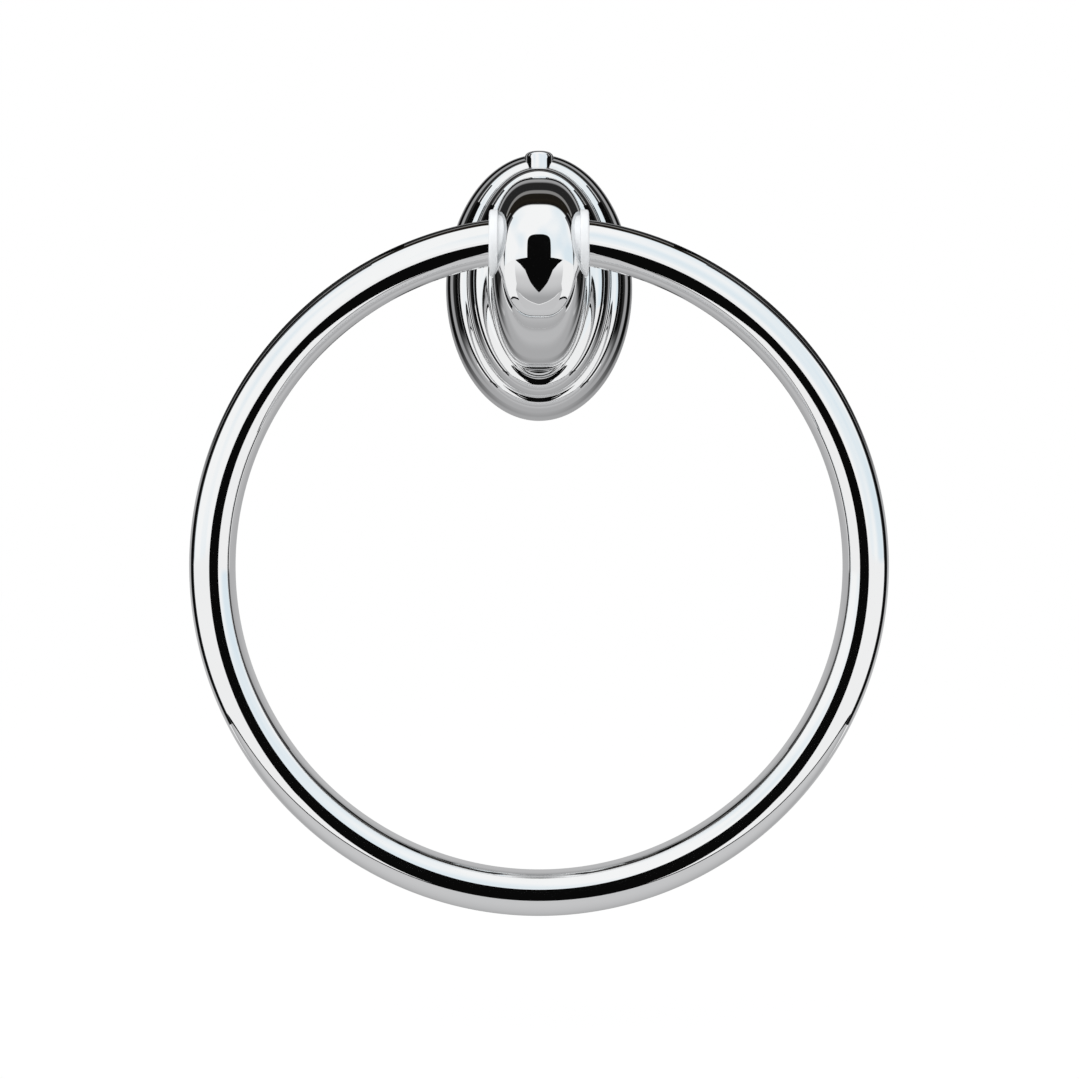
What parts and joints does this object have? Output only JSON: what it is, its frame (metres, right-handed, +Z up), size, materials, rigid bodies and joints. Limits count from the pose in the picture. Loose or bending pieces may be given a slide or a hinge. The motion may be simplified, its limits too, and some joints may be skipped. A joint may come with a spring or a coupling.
{
  "type": "towel ring",
  "caption": "Wall-mounted chrome towel ring: a stepped oval base with a flared post and domed nose carries a round bar ring that swings in plastic bushings.",
  "frame": {"origin": "centre of the oval base's back face, on the wall, midway between the bracket's two screw holes", "axes": "+Z up along the wall, +X to the right seen from the front, -Y out from the wall to the front"},
  "size_m": [0.153, 0.056, 0.1761],
  "materials": {
    "chrome": "bright polished chrome plating",
    "milky_plastic": "milky white, slightly see-through moulded plastic",
    "steel": "zinc-plated steel"
  },
  "bodies": {
    "wall_post": {"post_casting": "chrome", "wall_bracket": "steel", "set_screw": "steel", "bushing_left": "milky_plastic", "bushing_right": "milky_plastic"},
    "ring": {"towel_ring": "chrome"}
  },
  "joints": [
    {"name": "ring_swing", "type": "hinge", "parent": "wall_post", "child": "ring", "pos_m": [0, -0.046, 0.0034], "axis": [-1, 0, 0], "range_deg": [-16, 196]}
  ]
}
